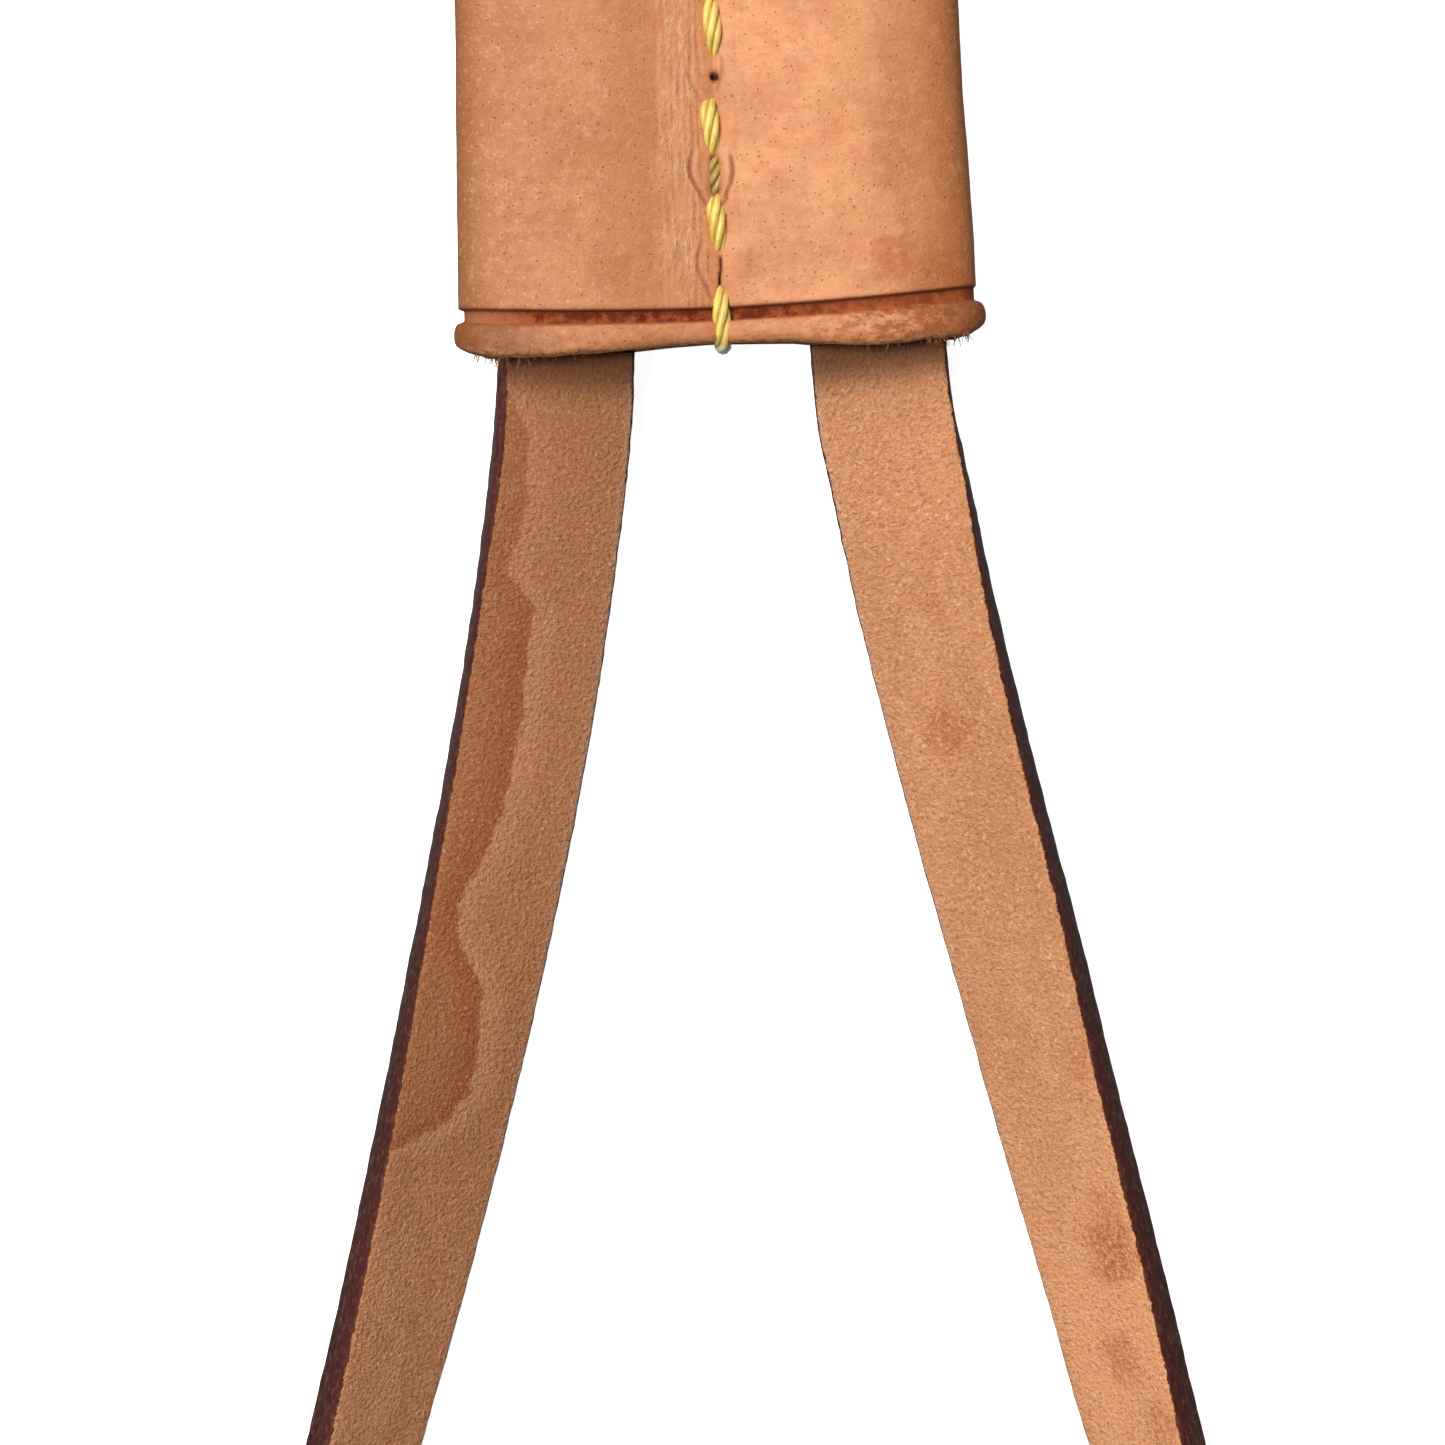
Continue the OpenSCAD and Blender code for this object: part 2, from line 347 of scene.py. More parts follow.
def lace_grain_side(s, at, blotch):
    colour = s.mix(s.ramp(blotch, 0.4, 0.7), rgb(208, 138, 92), rgb(190, 118, 74))
    return s.mix(s.ramp(s.cells(at, 2.6), 0.16, 0.03, 0, 0.4), colour, rgb(150, 84, 48))


def edge_paint(s, at, across, through):
    """Where the edge paint is, which runs a little on to the face with a ragged border, and its colour, with
    painted glints.
    """
    ragged = s.times(s.noise(at, 2.2, 4, 0.7), 0.34)
    far_out = s.plus(s.plus(s.math("ABSOLUTE", across), ragged), s.attribute("wrap"))
    paint = s.ramp(far_out, LACE_W / 2 + 0.04, LACE_W / 2 + 0.10)
    tint = s.mix(s.ramp(through, -0.5, 0.3), rgb(62, 32, 26), rgb(64, 26, 20))
    tint = s.mix(s.ramp(through, 0.3, 0.8, 0, 0.7), tint, rgb(80, 24, 12))
    # Painted glints: the light flecks on the edge paint. The dark flecks are the paint's own.
    fleck = s.noise(s.stretched(at, 1, 0.4, 1), 4.2, 4, 0.7)
    tint = s.mix(s.ramp(fleck, 0.52, 0.66, 0, 0.7), tint, rgb(104, 66, 56))
    return paint, s.mix(s.ramp(fleck, 0.48, 0.36, 0, 0.7), tint, rgb(26, 12, 12))


def lace_leather():
    """Sueded flesh side with a nap, tide marks, spots and painted light and shade, a smooth grain side, and
    dark painted edges.
    """
    s = Shader("lace_leather")
    at = s.attribute("lace_at", "Vector")
    across, _, through = s.axes(at)
    blotch = s.noise(at, 0.55, 4, 0.6)
    nap = s.noise(at, 3.8, 3, 0.66)
    fine = s.noise(at, 6.5, 3, 0.6)
    stain_lace(s, at, across, blotch)
    lay_nap(s, at, blotch, nap, fine)
    grained = s.ramp(through, -0.3, -0.75)
    s.coat(grained, lace_grain_side(s, at, blotch))
    paint, tint = edge_paint(s, at, across, through)
    s.coat(paint, tint)
    rough = s.times(s.ramp(paint, 0, 1, 0.88, 0.6), s.ramp(grained, 0, 1, 1, 0.65))
    height = s.plus(nap, s.times(fine, 0.4))
    height = s.times(height, s.ramp(s.larger(paint, grained), 0, 1, 1, 0.2))
    s.set(Base_Color=s.colour, Roughness=rough, Normal=s.bump(height, 0.33), Specular_IOR_Level=0.18)
    s.set(Sheen_Weight=0.05, Sheen_Roughness=0.5)
    return s.material


def tan_slide(s, at, x, mottle):
    """The slide's broad colours: paler right of the seam, darker towards its sides and in patches, with
    painted shade left of the seam and painted glints.
    """
    patch = s.noise(at, 0.17, 5, 0.62)
    cloud = s.noise(s.stretched(at, 1, 0.6, 1), 0.5, 5, 0.65)
    fleck = s.noise(at, 4.2, 3, 0.6)
    s.colour = s.mix(s.ramp(x, -1.5, 1.5), hide(224, 150, 104), hide(250, 172, 124))
    s.coat(s.ramp(patch, 0.42, 0.7, 0, 0.55), hide(208, 128, 80))
    cloudy = s.times(s.ramp(cloud, 0.5, 0.76, 0, 0.5), s.ramp(x, 7, 2, 1, 0.3))
    s.coat(s.times(cloudy, s.ramp(x, 0, -4, 0.5, 1)), hide(204, 112, 52))
    s.coat(s.ramp(x, 8, 11, 0, 0.55), hide(204, 124, 74))
    s.coat(s.ramp(x, 11, 14, 0, 0.55), hide(190, 112, 64))
    # Painted shade on the valley's slope left of the seam.
    s.coat(s.times(s.ramp(x, -10, -5.5), s.ramp(x, -2.5, -4.5, 0, 0.2)), hide(186, 116, 72))
    s.coat(s.attribute("tanned"), hide(190, 100, 48))
    s.coat(s.ramp(x, -8.5, -12.5, 0, 0.5), hide(196, 124, 80))
    s.coat(s.ramp(x, -13.2, -15, 0, 0.4), hide(150, 98, 64))
    s.coat(s.ramp(mottle, 0.47, 0.7, 0, 0.34), hide(196, 112, 56))
    s.coat(s.ramp(mottle, 0.47, 0.28, 0, 0.28), hide(255, 196, 148))
    # Painted glints: fine light flecks, strongest on the left.
    s.coat(s.times(s.ramp(fleck, 0.55, 0.78), s.ramp(x, -5, -9, 0.25, 0.6)), hide(255, 214, 174))


def wear_slide(s, at, x, pores):
    """Pores and specks, and a lip that is worn and darker at its ends."""
    s.coat(s.ramp(pores, 0.22, 0.03, 0, 0.6), hide(160, 84, 44))
    s.coat(s.ramp(s.cells(at, 0.55), 0.09, 0.03, 0, 0.6), hide(140, 68, 36))
    lip = s.attribute("lip")
    ends = s.ramp(s.math("ABSOLUTE", s.plus(x, 3)), 6, 15, 0.35, 1.3)
    rubbing = s.ramp(s.noise(s.stretched(at, 0.6, 1, 1), 2.2, 5, 0.7), 0.4, 0.6, 0.1, 1)
    s.coat(s.times(s.times(lip, ends), rubbing), hide(176, 98, 54))
    dark_ends = s.larger(s.ramp(x, -8, -13, 0, 0.5), s.ramp(x, 12, 15, 0, 0.5))
    s.coat(s.times(lip, dark_ends), hide(138, 80, 44))


def mark_slide(s, x, mottle, streak, fuzz):
    """Streaks beside the seam with painted light and shade, creases, folds and holes with painted shade, and
    the raw short edges.
    """
    band = s.attribute("wrinkle_light_and_relief")
    # Painted light on the wrinkled band beside the seam: lighter overall, with painted highlights and shade
    # along its streaks.
    s.coat(s.times(band, 0.55), hide(255, 184, 136))
    s.coat(s.times(band, s.ramp(streak, 0.52, 0.68, 0, 0.6)), hide(255, 214, 176))
    s.coat(s.times(band, s.ramp(streak, 0.48, 0.34, 0, 0.42)), hide(190, 112, 70))
    # Soil at the holes and the thread's remnant, and painted shade along the wrinkles' and folds' lines.
    s.coat(s.attribute("soil_and_crease_shade"), hide(150, 78, 44))
    # The crease is darker in its own colour, and darker still by painted shade.
    tint = s.mix(s.ramp(mottle, 0.4, 0.62), hide(116, 42, 8), hide(176, 88, 44))
    tint = s.mix(s.ramp(x, -10.5, -13.5, 0, 0.6), tint, hide(210, 138, 96))
    s.coat(s.attribute("crease"), s.mix(s.ramp(x, 3, 8, 0, 0.3), tint, hide(198, 110, 64)))
    # Painted shadow: a dark line along the groove's wall away from the short edge.
    s.coat(s.attribute("groove_shadow"), hide(96, 34, 8))
    # Painted shade: the slits and awl holes painted near-black for their shaded insides, and a dark nick.
    s.coat(s.attribute("hole_shade_and_nick"), rgb(50, 22, 14))
    edge = s.mix(s.ramp(fuzz, 0.36, 0.64), hide(140, 84, 52), hide(216, 156, 114))
    s.coat(s.attribute("raw"), edge)


def slide_leather():
    """Vegetable-tanned grain side, tanned darker in patches and darker at its folds, with pores and specks,
    and painted light and shade.
    """
    s = Shader("slide_leather")
    at = s.row_mm()
    x = s.axes(at)[0]
    mottle = s.noise(at, 1.5, 5, 0.65)
    pores = s.cells(at, 2.4)
    streak = s.noise(s.stretched(at, 1, 0.38, 1), 3, 4, 0.6, 0.8)
    fuzz = s.noise(at, 3.4, 4, 0.7)
    tan_slide(s, at, x, mottle)
    wear_slide(s, at, x, pores)
    mark_slide(s, x, mottle, streak, fuzz)
    raw = s.attribute("raw")
    height = s.plus(s.times(s.noise(at, 3.2, 4, 0.62), 0.7), s.times(s.noise(at, 8, 3, 0.6), 0.4))
    height = s.minus(height, s.ramp(pores, 0.16, 0, 0, 0.5))
    height = s.plus(height, s.times(s.times(s.attribute("wrinkle_light_and_relief"), streak), 2.2))
    height = s.plus(height, s.times(s.times(raw, fuzz), 2))
    rough = s.ramp(s.noise(at, 2, 3), 0.3, 0.7, 0.42, 0.6)
    rough = s.larger(rough, s.times(s.larger(raw, s.attribute("crease")), 0.95))
    s.set(Base_Color=s.colour, Roughness=rough, Normal=s.bump(height, 0.085), Specular_IOR_Level=0.3)
    return s.material


def waxed_thread():
    """Yellow waxed thread, with fine fibres along each ply, patches of soil, and painted shade between the
    plies.
    """
    s = Shader("waxed_thread")
    at = s.attribute("thread_at", "Vector")
    fibre = s.noise(s.stretched(at, 1, 0.1, 1), 9, 3, 0.6)
    soil = s.noise(s.row_mm(), 0.9, 4, 0.6)
    s.colour = s.mix(s.ramp(fibre, 0.3, 0.7), rgb(218, 180, 80), rgb(250, 226, 126))
    s.coat(s.ramp(soil, 0.42, 0.72, 0, 0.5), rgb(190, 148, 56))
    # Painted shade between the plies.
    s.coat(s.times(s.attribute("ply_shade"), 0.85), rgb(150, 110, 36))
    s.coat(s.attribute("worn"), rgb(126, 82, 34))
    s.coat(s.attribute("wax"), rgb(236, 234, 205))
    s.set(Base_Color=s.colour, Roughness=0.34, Normal=s.bump(fibre, 0.05, 0.8), Specular_IOR_Level=0.5)
    s.set(Subsurface_Weight=0.05, Subsurface_Radius=(0.0006, 0.0004, 0.0002))
    return s.material


LACE = lace_leather()
SLIDE = slide_leather()
THREAD = waxed_thread()

# ---- the lace

CORNER_R = 0.28
FACE_POINTS = 15
LUMPS = 0.05  # share of the thickness that the lace's broad lumps add
FINE_LUMPS = 0.03
EDGE_RAG = 0.06


def lace_section():
    """The lace's section as a ring of (across, through), flesh side first, with rounded cut edges."""
    in_w, in_t = LACE_W / 2 - CORNER_R, LACE_T / 2 - CORNER_R

    def corner(side, end, angles):
        return [
            (side * in_w + CORNER_R * math.cos(a), end * in_t + CORNER_R * math.sin(a))
            for a in np.radians(angles)]

    face = np.linspace(in_w, -in_w, FACE_POINTS)
    ring = [(a, LACE_T / 2) for a in face]
    ring += corner(-1, 1, (120, 150, 180)) + corner(-1, -1, (180, 210, 240))
    ring += [(a, -LACE_T / 2) for a in face[::-1]]
    return np.array(ring + corner(1, -1, (300, 330, 360)) + corner(1, 1, (360, 390, 420)))


SECTION = lace_section()

# The tide mark on the left leg: distance from the slide, and place across, which is 4 at the outer edge.
TIDE_LINE = [
    (0, 4.6), (3, 3.4), (5, 2.2), (9, 1.9), (11.5, 2.2), (13.3, 2.7), (14.4, 1.6), (15.4, 0.6), (18, 0.7),
    (22, 0.4), (25, 0.5), (27.5, 0.6), (29, 0.9), (31, 1.5), (33, 2.3), (35, 2.2), (36.5, 1), (38, -0.2),
    (41.5, -0.7), (44, -0.8), (46, 0.3), (47.2, 1.8), (48.2, 3.2), (49, 4.6)]
# Spots: distance along the lace from the left mouth, place across, radius and strength.
SPOTS = [
    (LOOP_LEN - 23.2, -0.4, 1.9, 0.7), (LOOP_LEN - 55.4, 2, 2.4, 0.85), (LOOP_LEN - 53.2, 2.4, 1.5, 0.5),
    (LOOP_LEN - 44, 3, 1.3, 0.5), (LOOP_LEN - 61.5, 0.7, 2.1, 0.6), (LOOP_LEN - 66, 2.8, 1.7, 0.5),
    (LOOP_LEN - 15.5, 1.2, 0.8, 0.2), (54.5, -1.6, 1.4, 0.25), (120, 0.5, 2.2, 0.4), (260, -1, 2.5, 0.4),
    (LOOP_LEN - 140, 1, 2.4, 0.4), (-60, 1, 1.8, 0.35), (LOOP_LEN + 66, -1, 2, 0.35)]
# How strong the tide mark is at each distance from the left mouth.
STAIN = [(0, 0.35), (6, 0.55), (13, 0.6), (17, 0.9), (44, 0.95), (60, 0.7)]


def spots(place, across, coords):
    """How strongly the lace is spotted at each point."""
    spot = np.zeros_like(place)
    blot = grain(coords, 0.9, 20)
    for centre, side, radius, strength in SPOTS:
        away = np.hypot((place - centre) / 1.25, across - side) * (1 + 0.6 * blot)
        spot = np.maximum(spot, strength * smooth(away, radius, 0.35 * radius))
    return spot


def lace_marks(place, across, coords):
    """What the lace's material needs at each point, from its place along the whole lace and across it."""
    # shade is painted shade: along the left leg's upper part, and lightly from just below the slide's lip to
    # the left end.
    shade = 0.9 * smooth(place, 66, 42) * smooth(place, -8, 0) + 0.2 * smooth(place, 9, 1)
    fair = smooth(place, LOOP_LEN - 38, LOOP_LEN - 62) * smooth(place, LOOP_LEN - 110, LOOP_LEN - 80)
    fair += 0.25 * smooth(place, LOOP_LEN - 18, LOOP_LEN - 9) * smooth(place, LOOP_LEN, LOOP_LEN - 6)
    from_slide = np.minimum(place, LOOP_LEN - place)
    marks = {
        "tide": np.interp(place, *zip(*TIDE_LINE), left=9, right=9),
        "stain": np.interp(place, *zip(*STAIN)),
        "spot": spots(place, across, coords),
        "shade": shade,
        "fair": fair,
        "wrap": 0.4 * smooth(place, -3, 0) * smooth(place, 16, 3) * (across > 0),
        # Painted shadow of the slide's lip where the slide rests; it stays on the lace when the slide moves.
        "lip_shadow": 0.85 * smooth(from_slide, 3.5, 0.8) * smooth(from_slide, -1.2, -0.2),
    }
    return {key: values.ravel() for key, values in marks.items()}


def lace(name, middle, first, last, offset=0, direction=1, **more):
    """A stretch of lace round middle(across, s), the lace's middle sheet at s along it. offset and direction
    turn s into the place along the whole lace, from the left mouth, so that the leather's pattern runs on."""
    s = np.linspace(first, last, max(2, int((last - first) / STEP) + 1))
    at, across, through = np.broadcast_arrays(s[:, None], *SECTION.T)
    small = 0.02
    sheet = middle(across, at)
    over = middle(across + small, at) - middle(across - small, at)
    along = middle(across, np.minimum(at + small, last)) - middle(across, np.maximum(at - small, first))
    face = unit(np.cross(over, along)) * direction
    place = offset + direction * at
    coords = np.stack([across, place, through], -1)
    lumps = LUMPS * grain(coords * (1, 0.35, 1), 0.5) + FINE_LUMPS * grain(coords, 1.6, 7)
    points = sheet + face * (through * (1 + lumps))[..., None]
    rag = EDGE_RAG * grain(coords * (0, 1, 0.4), 1.3, 3)
    rag = rag * smooth(np.abs(across), LACE_W / 2 - 0.4, LACE_W / 2)
    points += unit(over) * (rag * np.sign(across))[..., None]
    rows, columns = across.shape
    caps = [list(range(columns))[::-1], [(rows - 1) * columns + j for j in range(columns)]]
    return piece(
        name, points.reshape(-1, 3), grid_quads(rows, columns) + caps, LACE, "lace", slot="lace_leather",
        lace_at=coords.reshape(-1, 3), **lace_marks(place, across, coords), **more)


def along_line(line, edge):
    """middle() for a lace that follows a line, with its outward edge turned to edge at each point."""
    at = lengths(line)

    def middle(across, s):
        centre = np.stack([np.interp(s, at, line[:, k]) for k in range(3)], -1)
        out = unit(np.stack([np.interp(s, at, edge[:, k]) for k in range(3)], -1))
        return centre + across[..., None] * out

    return middle


def straight(x, outward, start, end):
    """middle() for a flat straight lace at x, from y = start to y = end, with its outer edge outward."""
    line = np.array([(x, start, LACE_Z), (x, end, LACE_Z)])
    return along_line(line, np.array([(outward, 0, 0)] * 2, float))


def metres(line):
    return [tuple(p * MM) for p in line]


# Each leg: side, place across, outward direction, its mouth's place along the lace, and which way that place
# goes further into the slide.
LEGS = (("left", LEFT_LACE_X, -1, 0, -1), ("right", RIGHT_LACE_X, 1, LOOP_LEN, 1))

lace_loop = lace(
    "lace_loop", along_line(loop, loop_edge), 0, LOOP_LEN,
    replaces=("lace_run_left", "lace_run_right", "lace_hank"))
for side, leg_x, outward, mouth, direction in LEGS:
    lace(
        f"{side}_channel_lace", straight(leg_x, outward, -HALF_LEN, HALF_LEN), 0, 2 * HALF_LEN, mouth,
        direction, replaces=(f"lace_in_{side}_channel",))
    lace(
        f"{side}_tail", straight(leg_x, outward, HALF_LEN, TAIL_END), 0, TAIL_END - HALF_LEN,
        mouth + direction * 2 * HALF_LEN, direction, replaces=(f"lace_tail_{side}",))

# ---- the knots

# The knot is a flat overhand knot: the lace folds over three sides of a pentagon and leaves through a fourth.
# Each fold: the direction of its side, the radius of the bend, and whether it goes up or down. The lace
# passes at four heights, so that its end tucks between two passes.
SIDE_OFF = 9.55  # how far from the knot's middle the flat lace would fold
PASS_OFF = 2.95
KNOT_AT = (-PASS_OFF, 9)
FOLDS = ((72, 2.1, 1), (216, 3.15, -1), (0, 2.1, 1))
KNOT_LEN = 78.5


def knot_middle(x, outward):
    """middle() for a knot whose lace comes in along +Y at x."""

    def middle(across, s):
        plan = np.stack([-across, s], -1) - np.array(KNOT_AT)
        height = np.full(across.shape, LACE_Z)
        live = np.ones(across.shape, bool)
        for turn, radius, rise in FOLDS:
            turn = math.radians(turn)
            out = np.array([math.cos(turn), math.sin(turn)])
            past = plan @ out - (SIDE_OFF - math.pi * radius / 2)
            angle = np.clip(past / radius, 0, math.pi)
            bent = live & (past > 0)
            folded = past > math.pi * radius
            flat = np.where(folded, math.pi * radius - past, radius * np.sin(angle))
            plan = np.where(bent[..., None], plan + (flat - past)[..., None] * out, plan)
            height = np.where(bent, height + rise * radius * (1 - np.cos(angle)), height)
            live = bent & folded
        plan = plan + np.array(KNOT_AT)
        return np.stack([x - outward * plan[..., 0], TAIL_END + plan[..., 1], height], -1)

    return middle


for side, leg_x, outward, mouth, direction in LEGS:
    lace(
        f"{side}_knot", knot_middle(leg_x, outward), 0, KNOT_LEN, mouth + direction * (TAIL_END + HALF_LEN),
        direction, replaces=(f"knot_{side}",))

# ---- thread

PLY_R = 0.26
PLY_OFF = 0.29
PLY_PITCH = 6.2
PLY_COUNT = 4
PLY_SIDES = 10


def carried(line):
    """Two directions square to a line at each of its points, carried along it without twist."""
    along = unit(np.gradient(line, axis=0))
    start = np.cross(along[0], (1, 0, 0) if abs(along[0][0]) < 0.9 else (0, 0, 1))
    first = [start / np.linalg.norm(start)]
    for t in along[1:]:
        v = first[-1] - t * np.dot(first[-1], t)
        first.append(v / np.linalg.norm(v))
    first = np.array(first)
    return first, np.cross(along, first)


def tubes(core, radius, sides):
    """A ring of points round each point of a line, and the ring's directions."""
    a, b = carried(core)
    turn = np.linspace(0, 2 * math.pi, sides, endpoint=False)
    out = np.cos(turn)[None, :, None] * a[:, None] + np.sin(turn)[None, :, None] * b[:, None]
    return core[:, None] + radius[:, None, None] * out, out


class Thread:
    """The plies of twisted threads, gathered into one mesh with what the thread's material needs."""

    def __init__(self):
        self.points, self.faces, self.count = [], [], 0
        self.marks = {"thread_at": [], "ply_shade": [], "wax": [], "worn": []}

    def twist(self, line, swell, phase=0, scale=1, pitch=PLY_PITCH, plies=PLY_COUNT, worn=0, wax=0):
        along = lengths(line)
        one, two = carried(line)
        around = np.linspace(0, 2 * math.pi, PLY_SIDES, endpoint=False)[None, :]
        for k in range(plies):
            turn = phase + 2 * math.pi * (k / plies + along / pitch)
            away = np.cos(turn)[:, None] * one + np.sin(turn)[:, None] * two
            core = line + (scale * PLY_OFF * swell)[:, None] * away
            skin, out = tubes(core, scale * PLY_R * swell, PLY_SIDES)
            first, last = self.count, self.count + (len(line) - 1) * PLY_SIDES
            self.faces += grid_quads(len(line), PLY_SIDES, first)
            self.faces += [[first + j for j in range(PLY_SIDES)][::-1], [last + j for j in range(PLY_SIDES)]]
            place = np.broadcast_arrays(around * PLY_R + 5 * k, along[:, None], 0 * around)
            points = skin.reshape(-1, 3)
            self.points.append(points)
            self.marks["thread_at"].append(np.stack(place, -1).reshape(-1, 3))
            # Painted shade where a ply faces in towards the others.
            self.marks["ply_shade"].append(smooth(-np.sum(out * away[:, None], -1), -0.75, 0.35).ravel())
            self.marks["worn"].append(np.full(len(points), worn))
            self.marks["wax"].append(wax * smooth(np.abs(points[:, 1]), HALF_LEN - 0.05, HALF_LEN + 0.3))
            self.count += len(points)

    def piece(self, name, body, node):
        marks = {key: np.concatenate(values) for key, values in self.marks.items()}
        points = np.concatenate(self.points)
        return piece(name, points, self.faces, THREAD, body, replaces=(node,), slot="waxed_thread", **marks)


# ---- the slide's shape

SLIDE_H = 6.2
SEAM_Z = 4.9  # height of the front at the seam, where the stitches pull it in
VALLEY_HALF = 7.2
VALLEY_SOFT = 0.72  # how much of the valley is a soft shoulder; the rest is steep, close to the stitches
HALF_W = 15.2
SHOULDER_X = 8.5  # from here out the section rounds over to its side
ROUNDNESS = 2.6
CHANNEL_HALF_H = 1.3
CHANNEL_IN = 1.5
CHANNEL_OUT = 13.4
CHANNEL_SQUARE = 12  # the power that squares off the channel's outer wall
THIN_GAP = 0.015  # half the gap between front and back where they are sewn together
BUTT_R = 0.35  # how far the strip's two ends round in at their joint
CREASE_W = 0.78
CREASE_DEPTH = 0.34
CREASE_LINE = (1.71, 0.0176, 0.00272)  # distance from the short edge: at x = 0, for each x and each x * x
LIP_RISE = 0.3
LIP_MIDDLE = 0.75
EDGE_ROUND = 0.42
# How far each side stands out beyond HALF_W halfway along, and how much further it does at SIDE_REACH.
SIDE_REACH = 19
LEFT_SIDE = (-0.1, 0.28)
RIGHT_SIDE = (-0.75, 0.62)
# How far the short edge stands out beyond the slide's nominal length, at places across it.
EDGE_LINE = [
    (-15.5, -0.25), (-14.7, 0.12), (-13.5, 0.4), (-12, 0.5), (-9, 0.47), (-7, 0.36), (-4.5, 0.17),
    (-3, 0.05), (-0.7, -0.06), (1.5, -0.05), (4.1, -0.02), (5.5, 0.12), (7.5, 0.28), (9.3, 0.34),
    (11.4, 0.17), (13, 0.05), (14, 0), (14.7, -0.15), (15.1, -0.4), (15.5, -0.85)]


def valley(x):
    """How deep the front lies below its channels at x: softly, and steeper close to the stitches."""
    t = np.clip(np.abs(x) / VALLEY_HALF, 0, 1)
    soft = VALLEY_SOFT * 0.5 * (1 + np.cos(math.pi * t))
    return (SLIDE_H - SEAM_Z) * (soft + (1 - VALLEY_SOFT) * np.exp(-np.abs(x) / 0.7) * (1 - t))


def edge_bulge(x):
    """How far the short edge stands out at x."""
    return np.interp(x, *zip(*EDGE_LINE))


def side_shift(side, y):
    return side[0] + side[1] * smooth(np.abs(y), 0, SIDE_REACH)


def column_xs():
    """The front's columns from right to left, close together where the seam and the wrinkles are."""
    xs, x = [], SHOULDER_X
    while x > -SHOULDER_X:
        xs.append(x)
        x -= 0.08 if -1.7 < x < 1.6 else 0.12 if -4.2 < x < 2.6 else 0.22 if -6.5 < x < 6 else 0.4
    return xs + [-SHOULDER_X]


def wall_half_h(x):
    """Half the height of the space between front and back at x."""
    return THIN_GAP + (CHANNEL_HALF_H - THIN_GAP) * smooth(np.abs(x), CHANNEL_IN, CHANNEL_IN + 0.5)


def section():
    """The slide's outer section and the channels' walls behind it, as points (x, z), from the butt joint
    round by the right, the front and the left."""
    middle = SLIDE_H / 2
    back = np.r_[0.07, 0.12, 0.2, 0.35, 0.6, np.arange(1, SHOULDER_X, 0.45)]
    turn = np.radians(np.r_[np.linspace(1, 88, 22), 90, np.linspace(92, 179, 22)])
    out = np.abs(np.sin(turn)) ** (2 / ROUNDNESS)
    rise = -np.sign(np.cos(turn)) * np.abs(np.cos(turn)) ** (2 / ROUNDNESS)
    square = np.sign(rise) * (1 - np.minimum(out, 0.999) ** CHANNEL_SQUARE) ** (1 / CHANNEL_SQUARE)
    front = np.array(column_xs())
    right = list(zip(back, valley(back) + BUTT_R * np.exp(-back / 0.22), back, middle - wall_half_h(back)))
    right += list(zip(
        SHOULDER_X + (HALF_W - SHOULDER_X) * out, middle + middle * rise,
        SHOULDER_X + (CHANNEL_OUT - SHOULDER_X) * out, middle + CHANNEL_HALF_H * square))
    points = right + list(zip(front, SLIDE_H - valley(front), front, middle + wall_half_h(front)))
    points = np.array(points + [(-x, z, -wx, wz) for x, z, wx, wz in reversed(right)])
    return points[:, :2], points[:, 2:]


def row_ds():
    """Distances of the mesh's rows from a short edge, close together at the lip and its crease."""
    near = [
        0, 0.04, 0.1, 0.18, 0.28, 0.4, 0.55, 0.72, 0.9, 1.05, 1.2, 1.32, 1.41, 1.48, 1.52, 1.56, 1.62, 1.7,
        1.9, 2.08, 2.16, 2.22, 2.26, 2.3, 2.36, 2.45, 2.6, 2.75]
    return np.r_[near, np.arange(2.9, HALF_LEN, 0.16)]


CREASE_AT = 1.9  # the crease's middle in the rows' own distances, before the rows bend to follow it
GAP_MARKS = (-17.25, -11.5, -5.75, 0, 5.75, 11.5, 17.25)
# What shows at each mark: a slit, an awl's hole or a remnant of thread, its half length, half width and place
# across.
GAPS = (
    ("slit", 0.85, 0.055, 0.05), ("remnant", 0.9, 0.2, -0.1), ("hole", 0, 0.2, 0.03),
    ("slit", 0.7, 0.07, 0), ("slit", 0.9, 0.08, 0.04), ("hole", 0, 0.22, -0.04),
    ("slit", 0.8, 0.075, 0.02))
# Each fold beside a stitch: its middle, half its length, how far out it is at the top and at its widest, and
# its strength. It runs in towards the seam at its foot.
FOLDS_BESIDE = (
    (-17.2, 1.9, -0.9, -1.25, 0.8), (-11.6, 1.9, -1.25, -1.55, 1), (-11.7, 1.7, 0.75, 0.98, 1),
    (-5.9, 1.7, -1.2, -1.45, 0.45), (-5.5, 1.3, 0.35, 0.55, 0.5), (0.1, 1.8, -1.1, -1.4, 0.5),
    (5.7, 1.8, 0.7, 1, 0.8), (11.4, 1.8, -1.1, -1.4, 0.9), (17.2, 1.8, 0.9, 1.2, 0.8))
# Long wrinkles beside the seam: place across and depth.
WRINKLES = (
    (-0.95, 0.035), (-1.3, 0.05), (-1.7, 0.035), (-2.05, 0.06), (-2.45, 0.05), (-2.85, 0.055), (-3.3, 0.035),
    (-3.9, 0.02), (1.25, 0.03), (1.8, 0.02))


def dent(distance, width):
    return np.exp(-((distance / width) ** 2))


